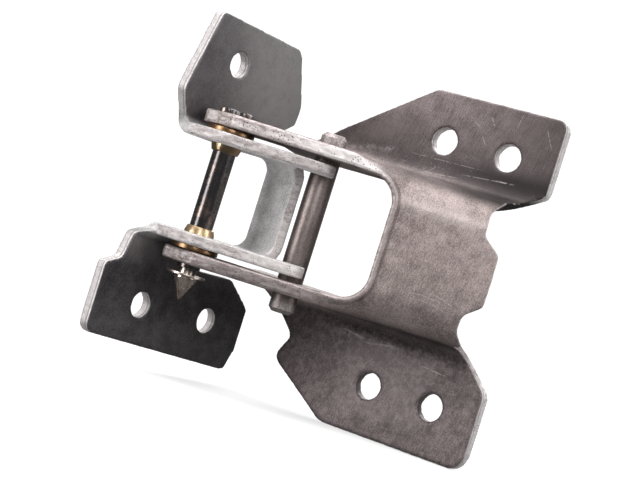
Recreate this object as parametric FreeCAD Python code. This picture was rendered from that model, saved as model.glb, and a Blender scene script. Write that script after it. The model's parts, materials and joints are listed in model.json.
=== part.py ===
import FreeCAD, Part
import math
import os

# Vehicle door hinge in pressed steel: a pillar strap, a door strap that swings on a
# bushed pin between the pillar strap's arms, and a stop pin that the door strap meets.
#
# Millimetres. X runs along the pillar strap's wings, Z runs up the hinge pin and Y points
# into the pillar. The origin is the middle of the four pillar bolts, on the mounting face.
# Plan outlines are drawn from the pin's axis, in two sets of plan axes: x, y as above, and
# u, v turned by ARM_TURN, with u along the arms and v across them towards the pillar.

Vector = FreeCAD.Vector
UP = Vector(0, 0, 1)

# Pillar bolt pattern and the pin's place in front of it
BOLT_HOLE_R = 5.7
FLANGE_HOLE_R = 5.3
PILLAR_BOLTS_X = 30.0
PILLAR_BOLTS_Z = 107.0
PIN_SETBACK_X = 76.4
WING_FACE_TO_PIN = 63.0
ARMS_ABOVE_BOLTS = 4.6

# Sheet
PILLAR_SHEET = 5.5
DOOR_SHEET = 4.8

# Hinge pin, bushes and the play between the halves
PIN_R = 4.7625
PIN_RUNNING_GAP = 0.05
PIN_LOWER_GAP = 0.1
BUSH_WALL = 1.44
BUSH_FLANGE_R = 9.8
BUSH_FLANGE_T = 2.0
BUSH_NOSE = 3.0
BUSH_NOSE_TAPER = 0.75
SIDE_PLAY = 0.3
ARM_GAP_HALF = 18.8

# Pillar strap: arms, channel and wings
ARM_TURN = 30.0
ARM_FRONT = 13.0
ARM_NOSE = 12.0
CHANNEL_BEND_R = 14.0
ARM_EDGE_R = 1.0
CHANNEL_START = 52.0
CHANNEL_FULL = 74.0
CHANNEL_END = 126.0
WINDOW_END = 71.0
WINDOW_CORNER_R = 11.0
WING_BEND_R = 8.0
WING_TOP = 69.5
WING_BOTTOM = 79.0
WING_LEFT = 12.3
WING_RIGHT = 113.0
SIDE_LEFT = -1.0
SIDE_RELIEF_U = 21.5
TAB_END = 117.6
NOTCH_U = 109.6
NOTCH_X = 95.2

# Stop pin
STOP_U = 40.8
STOP_V = 7.0
STOP_R = 5.35
STOP_TENON_R = 4.4
STOP_HEAD_R = 5.4
STOP_HEAD_TOP = 5.4
STOP_HEAD_BOTTOM = 8.0
STOP_HEAD_ROUND = 1.6

# Door strap: arms and tails, web, flanges
FLANGE_BEND_R = 3.0
WEB_BEND_R = 5.5
TAIL_REACH = 45.2
DOOR_FRONT = 12.5
TAIL_BACK = -0.9
TAIL_ROUND = 9.5
WEB_U = 34.3
WEB_V = 3.0
WEB_LENGTH = 22.0
WEB_TURN = 35.0
FLANGE_TURN = 51.6
FLANGE_TO_PIN = 14.0
FLANGE_NEAR = -13.0
FLANGE_BEND_END = 18.0
FLANGE_CLEAR_OF_ARM = 2.0
UPPER_FLANGE_TOP = 70.9
UPPER_FLANGE_FAR = 55.0
LOWER_FLANGE_BOTTOM = 72.2
LOWER_FLANGE_FAR = 60.4
UPPER_HOLE_A = 8.6
UPPER_HOLE_Z = 52.7
LOWER_HOLE_A = -5.0
LOWER_HOLES_APART = 41.8
LOWER_HOLE_Z = -53.2

# Pin head, groove, ring and point
HEAD_R = 6.9
HEAD_T = 2.1
HEAD_TEETH = 28
HEAD_TOOTH = 0.45
GROOVE_R = 3.5
PIN_PAST_ARM = 1.6
GROOVE_LENGTH = 3.4
RING_R = 8.2
RING_T = 0.9
RING_SLOT = 4.6
POINT_SHOULDER = 0.9
POINT_LENGTH = 8.8
POINT_TIP_R = 0.4

# Levels, measured from half way between the arms
DOOR_ARM_OUT = ARM_GAP_HALF + DOOR_SHEET
PILLAR_ARM_IN = DOOR_ARM_OUT + BUSH_FLANGE_T + SIDE_PLAY
PILLAR_ARM_OUT = PILLAR_ARM_IN + PILLAR_SHEET
PILLAR_BACK = WING_FACE_TO_PIN + PILLAR_SHEET
BEND_START_Y = WING_FACE_TO_PIN - WING_BEND_R
BOLTS_Z = -ARMS_ABOVE_BOLTS
BUSH_R = PIN_R + PIN_RUNNING_GAP + BUSH_WALL


# Outlines, extrusions and frames

def corner_arcs(corners):
    """One closed wire in the XY plane through corners (a, b, radius), each one rounded."""
    count = len(corners)
    pieces = []
    for i, (a, b, radius) in enumerate(corners):
        here = Vector(a, b, 0)
        back = Vector(*corners[i - 1][:2], 0) - here
        ahead = Vector(*corners[(i + 1) % count][:2], 0) - here
        back.normalize()
        ahead.normalize()
        if radius == 0:
            pieces.append((here, None, here))
            continue
        half = back.getAngle(ahead) / 2
        reach = radius / math.tan(half)
        inward = back + ahead
        inward.normalize()
        centre = here + inward * (radius / math.sin(half))
        pieces.append((here + back * reach, centre - inward * radius, here + ahead * reach))
    edges = []
    for i, (start, middle, end) in enumerate(pieces):
        if middle is not None:
            edges.append(Part.Arc(start, middle, end).toShape())
        following = pieces[(i + 1) % count][0]
        if end.distanceToPoint(following) > 1e-6:
            edges.append(Part.LineSegment(end, following).toShape())
    return Part.Wire(edges)


def plate(corners, low, high):
    """An outline in plan, as a solid between two heights."""
    face = Part.Face(corner_arcs(corners))
    face.translate(Vector(0, 0, low))
    return face.extrude(UP * (high - low))


def upright(solid, turn=0.0):
    """Stand a solid up: its plan becomes a view along Y, then it is turned about the pin."""
    solid.rotate(Vector(0, 0, 0), Vector(1, 0, 0), 90)
    solid.rotate(Vector(0, 0, 0), UP, turn)
    return solid


def turned(u, v):
    """Plan x, y of a point given along and across the arms."""
    angle = math.radians(ARM_TURN)
    return (u * math.cos(angle) - v * math.sin(angle), u * math.sin(angle) + v * math.cos(angle))


def along_arm(solid):
    """Turn what was drawn in u, v so that it lies in x, y."""
    solid.rotate(Vector(0, 0, 0), UP, ARM_TURN)
    return solid


def rod(radius, low, high, u=0.0, v=0.0):
    x, y = turned(u, v)
    return Part.makeCylinder(radius, high - low, Vector(x, y, low))


def mirrored(solid):
    return solid.mirror(Vector(0, 0, 0), UP)


def seat(solid):
    """Move a finished piece from the pin's own place to the part's frame."""
    placed = solid.removeSplitter()
    placed.translate(Vector(-PIN_SETBACK_X, -PILLAR_BACK, ARMS_ABOVE_BOLTS))
    return placed


# Pillar strap

def channel_section(u, bend_r):
    """Section of the saddle across the arms: two walls and a top, with bends of bend_r."""
    top = -ARM_FRONT
    under = top + PILLAR_SHEET
    inner_r = max(bend_r - PILLAR_SHEET, ARM_EDGE_R / 2)
    leg = CHANNEL_BEND_R

    def at(v, z):
        return Vector(u, v, z)

    def bend(radius, level, wall, side):
        """Arc from the wall to the level face, or back, on one side."""
        slant = radius * math.sqrt(0.5)
        centre_v, centre_z = level + radius, side * (wall - radius)
        return (at(centre_v, side * wall), at(centre_v - slant, centre_z + side * slant),
                at(level, centre_z))

    out_up = bend(bend_r, top, PILLAR_ARM_OUT, 1)
    out_down = bend(bend_r, top, PILLAR_ARM_OUT, -1)
    in_up = bend(inner_r, under, PILLAR_ARM_IN, 1)
    in_down = bend(inner_r, under, PILLAR_ARM_IN, -1)
    ends = [at(leg, PILLAR_ARM_OUT), at(leg, -PILLAR_ARM_OUT),
            at(leg, -PILLAR_ARM_IN), at(leg, PILLAR_ARM_IN)]
    line = Part.LineSegment
    return Part.Wire([part.toShape() for part in (
        line(ends[0], out_up[0]), Part.Arc(*out_up), line(out_up[2], out_down[2]),
        Part.Arc(*reversed(out_down)), line(out_down[0], ends[1]), line(ends[1], ends[2]),
        line(ends[2], in_down[0]), Part.Arc(*in_down), line(in_down[2], in_up[2]),
        Part.Arc(*reversed(in_up)), line(in_up[0], ends[3]), line(ends[3], ends[0]))])


def saddle():
    """The raised channel: its bends grow from the arms' square edges to the full radius."""
    start = channel_section(CHANNEL_START, ARM_EDGE_R)
    full = channel_section(CHANNEL_FULL, CHANNEL_BEND_R)
    growing = Part.makeLoft([start, full], True, True)
    straight = Part.Face(full).extrude(Vector(CHANNEL_END - CHANNEL_FULL, 0, 0))
    channel = along_arm(growing.fuse(straight))
    reach = 2 * WING_RIGHT
    in_front_of_bend = Part.makeBox(2 * reach, reach + BEND_START_Y, reach,
                                    Vector(-reach, -reach, -reach / 2))
    return channel.common(in_front_of_bend)


def pillar_side():
    """The upper arm and side wall, flat, back to the bend of the wing."""
    front = -ARM_FRONT
    swept = ARM_FRONT - 0.4
    nose = [turned(0.5, front), turned(-ARM_NOSE, -0.5), turned(-ARM_NOSE, 4.0),
            turned(-5.5, 11.5), turned(3.0, swept)]
    relief = turned(SIDE_RELIEF_U, swept)
    rounds = [3.0, 3.0, 2.0, 3.0, 4.0]
    corners = [(x, y, r) for (x, y), r in zip(nose, rounds)]
    corners += [(*relief, 2.0), (SIDE_LEFT, BEND_START_Y, 0),
                (NOTCH_X - 4.0, BEND_START_Y, 0), (*turned(NOTCH_U - 3.0, 1.0), 0),
                (*turned(CHANNEL_START, 1.0), 0), (*turned(CHANNEL_START, front), 0)]
    return plate(corners, PILLAR_ARM_IN, PILLAR_ARM_OUT)


def wing(height):
    """The bend out of the side wall, and the wing beyond it up to a height."""
    bend_z = PILLAR_ARM_OUT + WING_BEND_R
    outer = WING_BEND_R + PILLAR_SHEET
    slant = math.sqrt(0.5)

    def at(y, z):
        return Vector(0, y, z)

    front_arc = Part.Arc(at(BEND_START_Y, PILLAR_ARM_OUT),
                         at(BEND_START_Y + WING_BEND_R * slant, bend_z - WING_BEND_R * slant),
                         at(WING_FACE_TO_PIN, bend_z))
    back_arc = Part.Arc(at(PILLAR_BACK, bend_z),
                        at(BEND_START_Y + outer * slant, bend_z - outer * slant),
                        at(BEND_START_Y, PILLAR_ARM_IN))
    line = Part.LineSegment
    profile = Part.Wire([piece.toShape() for piece in (
        front_arc, line(at(WING_FACE_TO_PIN, bend_z), at(WING_FACE_TO_PIN, height)),
        line(at(WING_FACE_TO_PIN, height), at(PILLAR_BACK, height)),
        line(at(PILLAR_BACK, height), at(PILLAR_BACK, bend_z)), back_arc,
        line(at(BEND_START_Y, PILLAR_ARM_IN), at(BEND_START_Y, PILLAR_ARM_OUT)))])
    solid = Part.Face(profile).extrude(Vector(WING_RIGHT - SIDE_LEFT, 0, 0))
    solid.translate(Vector(SIDE_LEFT, 0, 0))
    return solid


def wings_outline():
    """The outline of both wings and their bends, seen from the front."""
    arm = PILLAR_ARM_OUT + 0.5
    left = -2 * ARM_FRONT
    return [(left, arm, 0), (SIDE_LEFT, arm, 0), (WING_LEFT, 42.4, 6.0),
            (51.5, WING_TOP, 5.0), (WING_RIGHT, WING_TOP, 4.5), (WING_RIGHT, 37.2, 3.0),
            (NOTCH_X, 25.8, 0), (NOTCH_X, -29.2, 0), (WING_RIGHT, -46.3, 5.0),
            (WING_RIGHT, -WING_BOTTOM, 7.0), (43.9, -WING_BOTTOM, 6.0), (13.3, -59.2, 4.5),
            (18.9, -48.8, 3.5), (WING_LEFT, -42.2, 2.5), (SIDE_LEFT, -arm, 0),
            (left, -arm, 0)]


def saddle_outline():
    """The saddle seen square to its face: a tab between two rounded notches."""
    start = CHANNEL_START - 1
    past = TAB_END + 2
    return [(start, CHANNEL_FULL, 0), (past, CHANNEL_FULL, 0), (past, 35.0, 0),
            (NOTCH_U, 24.6, 5.0), (NOTCH_U, 15.0, 4.5), (TAB_END, 8.8, 3.5),
            (TAB_END, -12.6, 3.5), (NOTCH_U + 0.8, -18.2, 5.0), (NOTCH_U + 0.8, -25.0, 5.0),
            (past, -36.0, 0), (past, -CHANNEL_FULL, 0), (start, -CHANNEL_FULL, 0)]


def window():
    """The opening between the arms, from the nose to the saddle's edge."""
    half = PILLAR_ARM_IN
    corners = [(CHANNEL_START - 5.0, -half, 0), (WINDOW_END, -half, WINDOW_CORNER_R),
               (WINDOW_END, half, WINDOW_CORNER_R), (CHANNEL_START - 5.0, half, 0)]
    cutter = upright(plate(corners, -ARM_FRONT, ARM_FRONT + PILLAR_SHEET))
    return along_arm(cutter)


def bolt_hole(x, z, depth, turn=0.0, offset=0.0):
    """A round cutter through a plate that stands at an offset behind the pin."""
    hole = Part.makeCylinder(BOLT_HOLE_R, depth, Vector(x, z, -offset - depth))
    return upright(hole, turn)


def make_pillar_strap():
    side = pillar_side()
    face_on = along_arm(upright(plate(saddle_outline(), -WING_RIGHT, 2 * ARM_FRONT)))
    strap = saddle().cut(window()).common(face_on)
    front = upright(plate(wings_outline(), -WING_RIGHT, 2 * ARM_FRONT))
    wings = wing(WING_TOP).fuse(mirrored(wing(WING_BOTTOM))).common(front)
    strap = strap.fuse([side, mirrored(side), wings])
    for step_x in (-0.5, 0.5):
        for step_z in (-0.5, 0.5):
            x = PIN_SETBACK_X + step_x * PILLAR_BOLTS_X
            z = BOLTS_Z + step_z * PILLAR_BOLTS_Z
            strap = strap.cut(bolt_hole(x, z, 3 * PILLAR_SHEET, 0.0,
                                        WING_FACE_TO_PIN - PILLAR_SHEET))
    for level, radius in ((PILLAR_ARM_IN, PIN_R), (-PILLAR_ARM_OUT, PIN_R + PIN_LOWER_GAP)):
        strap = strap.cut(rod(radius, level - 1, level + PILLAR_SHEET + 1))
        strap = strap.cut(rod(STOP_TENON_R, level - 1, level + PILLAR_SHEET + 1, STOP_U, STOP_V))
    return strap


# Door strap

def flange_frame(a, across):
    """Plan u, v of a point given along the flange and from the pin's axis towards the door."""
    angle = math.radians(FLANGE_TURN)
    return (a * math.cos(angle) + across * math.sin(angle),
            a * math.sin(angle) - across * math.cos(angle))


def web_frame(along, inward):
    """Plan u, v of a point given along the web and inwards from its outer face."""
    angle = math.radians(WEB_TURN)
    return (WEB_U - along * math.sin(angle) - inward * math.cos(angle),
            WEB_V + along * math.cos(angle) - inward * math.sin(angle))


def door_arm():
    """The upper arm, flat, from the flange's bend to the tail and the web's bend."""
    bend = WEB_BEND_R + DOOR_SHEET
    flat_edge = FLANGE_BEND_R - FLANGE_TO_PIN
    near = flange_frame(FLANGE_NEAR, flat_edge)
    far = flange_frame(FLANGE_BEND_END, flat_edge)
    web_near = web_frame(0, bend)
    web_far = web_frame(WEB_LENGTH, bend)
    front = -DOOR_FRONT
    corners = [(*near, 0), (-9.0, -9.8, 4.0), (-1.0, front, 6.0),
               (TAIL_REACH, front, TAIL_ROUND), (TAIL_REACH, TAIL_BACK, 1.8),
               (web_near[0] + 2.0, TAIL_BACK, 0), (*web_near, 0), (*web_far, 0), (*far, 0)]
    return along_arm(plate(corners, ARM_GAP_HALF, DOOR_ARM_OUT))


def web():
    """The plate that joins the two arms behind the pin, with its bends into them."""
    inner, outer = WEB_BEND_R, WEB_BEND_R + DOOR_SHEET
    bend_z = DOOR_ARM_OUT - outer
    slant = math.sqrt(0.5)

    def at(inward, z):
        u, v = web_frame(0, inward)
        return Vector(u, v, z)

    def arc(radius, side):
        return (at(outer, side * (bend_z + radius)),
                at(outer - radius * slant, side * (bend_z + radius * slant)),
                at(outer - radius, side * bend_z))

    out_up, out_down = arc(outer, 1), arc(outer, -1)
    in_up, in_down = arc(inner, 1), arc(inner, -1)
    line = Part.LineSegment
    profile = Part.Wire([piece.toShape() for piece in (
        Part.Arc(*out_up), line(out_up[2], out_down[2]), Part.Arc(*reversed(out_down)),
        line(out_down[0], in_down[0]), Part.Arc(*in_down), line(in_down[2], in_up[2]),
        Part.Arc(*reversed(in_up)), line(in_up[0], out_up[0]))])
    end = web_frame(WEB_LENGTH, 0)
    run = Vector(end[0] - WEB_U, end[1] - WEB_V, 0)
    return along_arm(Part.Face(profile).extrude(run))


def flange(outline, height):
    """One flange with its bend, cut to an outline given along the flange and in height."""
    inner, outer = FLANGE_BEND_R, FLANGE_BEND_R + DOOR_SHEET
    bend_z = DOOR_ARM_OUT + inner
    bend_n = inner - FLANGE_TO_PIN
    slant = math.sqrt(0.5)
    first = min(a for a, z, r in outline) - 1
    last = max(a for a, z, r in outline) + 1

    def at(across, z):
        u, v = flange_frame(first, across)
        return Vector(u, v, z)

    def arc(radius):
        return (at(bend_n, bend_z - radius), at(bend_n - radius * slant, bend_z - radius * slant),
                at(bend_n - radius, bend_z))

    line = Part.LineSegment
    inside, outside = arc(inner), arc(outer)
    top_in, top_out = at(bend_n - inner, height), at(bend_n - outer, height)
    profile = Part.Wire([piece.toShape() for piece in (
        Part.Arc(*inside), line(inside[2], top_in), line(top_in, top_out),
        line(top_out, outside[2]), Part.Arc(*reversed(outside)), line(outside[0], inside[0]))])
    start, end = flange_frame(first, 0), flange_frame(last, 0)
    bent = Part.Face(profile).extrude(Vector(end[0] - start[0], end[1] - start[1], 0))
    cutter = upright(plate(outline, -3 * FLANGE_TO_PIN, 0.0), FLANGE_TURN)
    return along_arm(bent.common(cutter))


def upper_flange_outline():
    relief = PILLAR_ARM_OUT + FLANGE_CLEAR_OF_ARM
    return [(FLANGE_NEAR, 0, 0), (FLANGE_NEAR, 25.6, 3.0), (-18.6, 36.2, 4.5),
            (-9.6, UPPER_FLANGE_TOP, 3.0), (44.2, UPPER_FLANGE_TOP - 2.0, 5.5),
            (UPPER_FLANGE_FAR, 46.0, 8.0), (UPPER_FLANGE_FAR - 0.6, 38.0, 3.0),
            (47.5, relief, 3.0), (FLANGE_BEND_END, relief, 2.0), (FLANGE_BEND_END, 0, 0)]


def lower_flange_outline():
    relief = PILLAR_ARM_OUT + FLANGE_CLEAR_OF_ARM
    return [(FLANGE_NEAR, 0, 0), (FLANGE_NEAR, 21.6, 2.0), (-21.4, 25.4, 4.0),
            (-23.6, 36.4, 3.5), (-31.9, 39.6, 2.5), (-31.7, LOWER_FLANGE_BOTTOM - 3.6, 4.5),
            (57.0, LOWER_FLANGE_BOTTOM, 3.5), (LOWER_FLANGE_FAR, 62.6, 6.0),
            (LOWER_FLANGE_FAR, 44.2, 2.5), (45.0, relief, 5.0),
            (FLANGE_BEND_END, relief, 2.0), (FLANGE_BEND_END, 0, 0)]


def flange_hole(a, z):
    depth = 3 * DOOR_SHEET
    hole = Part.makeCylinder(FLANGE_HOLE_R, depth, Vector(a, z, DOOR_SHEET - FLANGE_TO_PIN - depth))
    return along_arm(upright(hole, FLANGE_TURN))


def make_door_strap():
    arm = door_arm()
    upper = flange(upper_flange_outline(), UPPER_FLANGE_TOP + 1)
    lower = mirrored(flange(lower_flange_outline(), LOWER_FLANGE_BOTTOM + 1))
    strap = arm.fuse([mirrored(arm), web(), upper, lower])
    for a, z in ((UPPER_HOLE_A, UPPER_HOLE_Z), (LOWER_HOLE_A, LOWER_HOLE_Z),
                 (LOWER_HOLE_A + LOWER_HOLES_APART, LOWER_HOLE_Z)):
        strap = strap.cut(flange_hole(a, z))
    return strap.cut(rod(BUSH_R, -DOOR_ARM_OUT - 1, DOOR_ARM_OUT + 1))


# Pin, bushes, ring and stop pin

def turned_part(profile, u=0.0, v=0.0):
    """A solid of revolution about an upright axis, from points (radius, height)."""
    points = [Vector(radius, 0, z) for radius, z in profile]
    face = Part.Face(Part.makePolygon(points + [points[0]]))
    solid = face.revolve(Vector(0, 0, 0), UP, 360)
    solid.translate(Vector(*turned(u, v), 0))
    return solid


def make_bushing():
    """A flanged bush in the upper door arm, with its flange on the arm's outer face."""
    bore = PIN_R + PIN_RUNNING_GAP
    nose = ARM_GAP_HALF - BUSH_NOSE
    return turned_part([(bore, nose), (BUSH_R - BUSH_NOSE_TAPER, nose),
                        (BUSH_R, ARM_GAP_HALF - 0.6), (BUSH_R, DOOR_ARM_OUT),
                        (BUSH_FLANGE_R, DOOR_ARM_OUT),
                        (BUSH_FLANGE_R, DOOR_ARM_OUT + BUSH_FLANGE_T),
                        (bore, DOOR_ARM_OUT + BUSH_FLANGE_T)])


def groove_top():
    return -(PILLAR_ARM_OUT + PIN_PAST_ARM)


def make_hinge_pin():
    """Serrated head on the upper arm, plain shank, and a grooved point below the lower arm."""
    top = groove_top()
    bottom = top - GROOVE_LENGTH
    shoulder = bottom - POINT_SHOULDER
    tip = shoulder - POINT_LENGTH
    shank = turned_part([(0, PILLAR_ARM_OUT), (PIN_R, PILLAR_ARM_OUT), (PIN_R, top),
                         (GROOVE_R, top), (GROOVE_R, bottom), (PIN_R, bottom),
                         (PIN_R, shoulder), (POINT_TIP_R, tip), (0, tip)])
    rim = []
    for i in range(2 * HEAD_TEETH):
        angle = math.pi * i / HEAD_TEETH
        radius = HEAD_R - HEAD_TOOTH * (i % 2)
        rim.append((radius * math.cos(angle), radius * math.sin(angle), 0))
    head = plate(rim, PILLAR_ARM_OUT, PILLAR_ARM_OUT + HEAD_T)
    dome = Part.makeCone(2 * HEAD_R, 0, 2 * HEAD_R, Vector(0, 0, PILLAR_ARM_OUT + HEAD_T - HEAD_R - 0.6))
    return shank.fuse(head.common(dome))


def make_retaining_ring():
    """A thin open ring in the pin's groove."""
    low = groove_top() - GROOVE_LENGTH + 0.2
    ring = turned_part([(GROOVE_R, low), (RING_R, low), (RING_R, low + RING_T),
                        (GROOVE_R, low + RING_T)])
    slot = Part.makeBox(2 * RING_R, RING_SLOT, 3 * RING_T, Vector(0, -RING_SLOT / 2, low - RING_T))
    return ring.cut(along_arm(slot))


def make_stop_pin():
    """A shouldered pin between the pillar arms, with both ends headed over outside them."""
    head_top = PILLAR_ARM_OUT + STOP_HEAD_TOP
    head_bottom = -PILLAR_ARM_OUT - STOP_HEAD_BOTTOM
    flat = STOP_HEAD_R - STOP_HEAD_ROUND
    return turned_part([(0, head_bottom), (flat, head_bottom),
                        (STOP_HEAD_R, head_bottom + STOP_HEAD_ROUND),
                        (STOP_HEAD_R, -PILLAR_ARM_OUT), (STOP_TENON_R, -PILLAR_ARM_OUT),
                        (STOP_TENON_R, -PILLAR_ARM_IN), (STOP_R, -PILLAR_ARM_IN),
                        (STOP_R, PILLAR_ARM_IN), (STOP_TENON_R, PILLAR_ARM_IN),
                        (STOP_TENON_R, PILLAR_ARM_OUT), (STOP_HEAD_R, PILLAR_ARM_OUT),
                        (STOP_HEAD_R, head_top - STOP_HEAD_ROUND), (flat, head_top),
                        (0, head_top)], STOP_U, STOP_V)


bushing = make_bushing()
pieces = {
    "pillar_strap": make_pillar_strap(),
    "door_strap": make_door_strap(),
    "hinge_pin": make_hinge_pin(),
    "upper_bushing": bushing,
    "lower_bushing": mirrored(bushing),
    "pin_retaining_ring": make_retaining_ring(),
    "stop_pin": make_stop_pin(),
}

os.makedirs("parts", exist_ok=True)
for name, solid in pieces.items():
    shape = seat(solid)
    shape.exportStep("parts/" + name + ".step")
    box = shape.BoundBox
    print("%-20s solids %d valid %s volume %.1f  x %.1f..%.1f y %.1f..%.1f z %.1f..%.1f" % (
        name, len(shape.Solids), shape.isValid(), shape.Volume,
        box.XMin, box.XMax, box.YMin, box.YMax, box.ZMin, box.ZMax))
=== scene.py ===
# %% [markdown]
# # A pressed-steel vehicle door hinge
#
# The hinge has two plates bent from thick sheet: the pillar strap, with its raised saddle and
# four bolt holes, and the door strap, which swings on a pin between the pillar strap's arms.
# A second pin stops the swing. The CAD model fixes every size. Here the plates get the soft,
# tumbled edges that pressed steel has, and every piece gets its finish.

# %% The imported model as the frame
import json
import math

import bpy
import numpy as np
from mathutils import Matrix, Vector

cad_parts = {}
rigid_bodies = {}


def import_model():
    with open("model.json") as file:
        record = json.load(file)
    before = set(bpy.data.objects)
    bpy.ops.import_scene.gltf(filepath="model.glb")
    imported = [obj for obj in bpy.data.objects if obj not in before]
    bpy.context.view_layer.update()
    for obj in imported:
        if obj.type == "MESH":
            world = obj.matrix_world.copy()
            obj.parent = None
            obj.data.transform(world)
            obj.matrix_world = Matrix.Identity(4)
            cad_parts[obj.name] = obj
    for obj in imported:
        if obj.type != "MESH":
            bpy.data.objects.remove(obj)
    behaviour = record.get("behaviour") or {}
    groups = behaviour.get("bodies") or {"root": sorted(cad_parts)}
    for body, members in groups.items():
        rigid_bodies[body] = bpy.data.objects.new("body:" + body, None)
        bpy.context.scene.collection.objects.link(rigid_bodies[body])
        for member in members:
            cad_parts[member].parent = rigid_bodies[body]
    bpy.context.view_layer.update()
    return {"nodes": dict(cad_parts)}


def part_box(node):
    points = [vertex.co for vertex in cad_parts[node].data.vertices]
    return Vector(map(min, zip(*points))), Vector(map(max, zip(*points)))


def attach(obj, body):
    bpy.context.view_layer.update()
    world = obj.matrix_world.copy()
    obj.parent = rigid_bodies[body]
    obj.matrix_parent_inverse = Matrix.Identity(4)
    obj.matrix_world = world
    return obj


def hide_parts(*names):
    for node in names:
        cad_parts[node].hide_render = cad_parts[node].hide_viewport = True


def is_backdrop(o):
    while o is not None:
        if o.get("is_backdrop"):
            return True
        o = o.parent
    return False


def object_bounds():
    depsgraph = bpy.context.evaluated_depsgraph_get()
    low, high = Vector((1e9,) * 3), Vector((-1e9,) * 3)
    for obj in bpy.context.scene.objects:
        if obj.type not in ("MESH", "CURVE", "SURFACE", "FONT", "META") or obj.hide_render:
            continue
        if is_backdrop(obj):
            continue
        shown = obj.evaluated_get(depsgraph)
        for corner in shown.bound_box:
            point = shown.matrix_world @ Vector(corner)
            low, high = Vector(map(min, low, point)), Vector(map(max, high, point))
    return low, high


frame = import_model()
MM = 0.001

# %% [markdown]
# ## Where things are
#
# The pin's axis is the natural place to measure from, and its box gives the axis in plan.
# Some directions in plan matter too: along the pillar strap's arms, square to the door
# strap's flanges, and along its web.

# %% The pin's axis and the plan directions
PIN_MIDDLE_Z = 4.6 * MM
ARM_TURN, FLANGE_NORMAL_TURN, WEB_RUN_TURN = 30.0, -8.4, 155.0
QUARTER = 90.0
pin_low, pin_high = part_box("hinge_pin")
PIN = Vector(((pin_low[0] + pin_high[0]) / 2, (pin_low[1] + pin_high[1]) / 2, PIN_MIDDLE_Z))


def plan_direction(degrees):
    """A level direction, turned from +X about the pin."""
    return Vector((math.cos(math.radians(degrees)), math.sin(math.radians(degrees)), 0))


UPWARDS = Vector((0, 0, 1))
TO_RIGHT = Vector((1, 0, 0))
TO_PILLAR = Vector((0, 1, 0))
ALONG_ARMS = plan_direction(ARM_TURN)
ACROSS_ARMS = plan_direction(ARM_TURN + QUARTER)
FLANGE_NORMAL = plan_direction(FLANGE_NORMAL_TURN)
ALONG_FLANGE = plan_direction(FLANGE_NORMAL_TURN + QUARTER)
ALONG_WEB = plan_direction(WEB_RUN_TURN)
print("pin axis in mm:", [round(c / MM, 2) for c in PIN])

# %% [markdown]
# ## The camera
#
# The camera looks at the hinge about level, from the right of straight ahead, and it is
# rolled, so the hinge leans over in the picture. The position is built from those angles.

# %% The camera
turn, tilt, lean = math.radians(29.8), math.radians(-0.26), math.radians(17.45)
MM_ACROSS, MM_DOWN, MM_BACK = 47.47, 6.15, 782
LENS, SENSOR = 108.73, 36.0
NEAREST_SEEN, FARTHEST_SEEN = 0.01, 20.0
ahead = Vector((-math.sin(turn) * math.cos(tilt), math.cos(turn) * math.cos(tilt), -math.sin(tilt)))
across = Vector((math.cos(turn), math.sin(turn), 0))
up = across.cross(ahead)
viewpoint = PIN + across * MM_ACROSS * MM - up * MM_DOWN * MM - ahead * MM_BACK * MM

camera = bpy.data.objects.new("camera", bpy.data.cameras.new("camera"))
bpy.context.scene.collection.objects.link(camera)
image_right = across * math.cos(lean) + up * math.sin(lean)
image_up = up * math.cos(lean) - across * math.sin(lean)
facing = Matrix((image_right, image_up, -ahead)).transposed().to_4x4()
camera.matrix_world = Matrix.Translation(viewpoint) @ facing
camera.data.lens = LENS
camera.data.sensor_width = SENSOR
camera.data.clip_start = NEAREST_SEEN
camera.data.clip_end = FARTHEST_SEEN
bpy.context.scene.camera = camera
print("camera at", [round(c, 3) for c in viewpoint])

# %% [markdown]
# ## Shader arithmetic in plain Python
#
# A worn steel surface is a sum of many faint marks. Written as expressions they stay
# readable, so one small class wraps a socket and lets +, - and * add Math nodes.

# %% Sockets that can be added and multiplied
class Signal:
    """A number that changes over a surface, as the output socket of a node."""

    def __init__(self, finish, socket):
        self.finish = finish
        self.socket = socket

    def _math(self, operation, *values):
        node = self.finish.node("ShaderNodeMath", {"operation": operation},
                                dict(enumerate(values)))
        return Signal(self.finish, node.outputs[0])

    def __add__(self, other):
        return self._math("ADD", self, other)

    def __radd__(self, other):
        return self._math("ADD", other, self)

    def __sub__(self, other):
        return self._math("SUBTRACT", self, other)

    def __rsub__(self, other):
        return self._math("SUBTRACT", other, self)

    def __mul__(self, other):
        return self._math("MULTIPLY", self, other)

    def most(self, other):
        """The larger of two values."""
        return self._math("MAXIMUM", self, other)

    def absolute(self):
        """The value without its sign."""
        return self._math("ABSOLUTE", self)

    def step(self, low, high):
        """0 below low and 1 above high, with a smooth rise between them."""
        node = self.finish.node("ShaderNodeMapRange", {"interpolation_type": "SMOOTHSTEP"},
                                {"Value": self, "From Min": low, "From Max": high})
        return Signal(self.finish, node.outputs["Result"])

    def near(self, value, reach):
        """1 at a value, falling to 0 at a distance of reach from it."""
        return 1 - (self - value).absolute().step(0.0, reach)

    def between(self, low, high, soft):
        """1 between two values, with soft ends outside them."""
        return self.step(low - soft, low) * (1 - self.step(high, high + soft))


print("signals are ready")

# %% [markdown]
# Materials and the world both have a node tree, which starts empty here. A node takes its
# settings and its inputs in one call, and an input is either a number or another node.

# %% A node tree in the making
class Tree:
    """The node tree of a material or a world, emptied and then filled node by node."""

    def __init__(self, owner):
        owner.use_nodes = True
        self.tree = owner.node_tree
        self.tree.nodes.clear()

    def node(self, kind, settings=None, values=None):
        """One node, with its settings, and with numbers or other nodes on its inputs."""
        node = self.tree.nodes.new(kind)
        for name, value in (settings or {}).items():
            setattr(node, name, value)
        for key, value in (values or {}).items():
            socket = node.inputs[key]
            if isinstance(value, Signal):
                value = value.socket
            if isinstance(value, bpy.types.NodeSocket):
                self.tree.links.new(value, socket)
            else:
                socket.default_value = value
        return node


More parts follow.
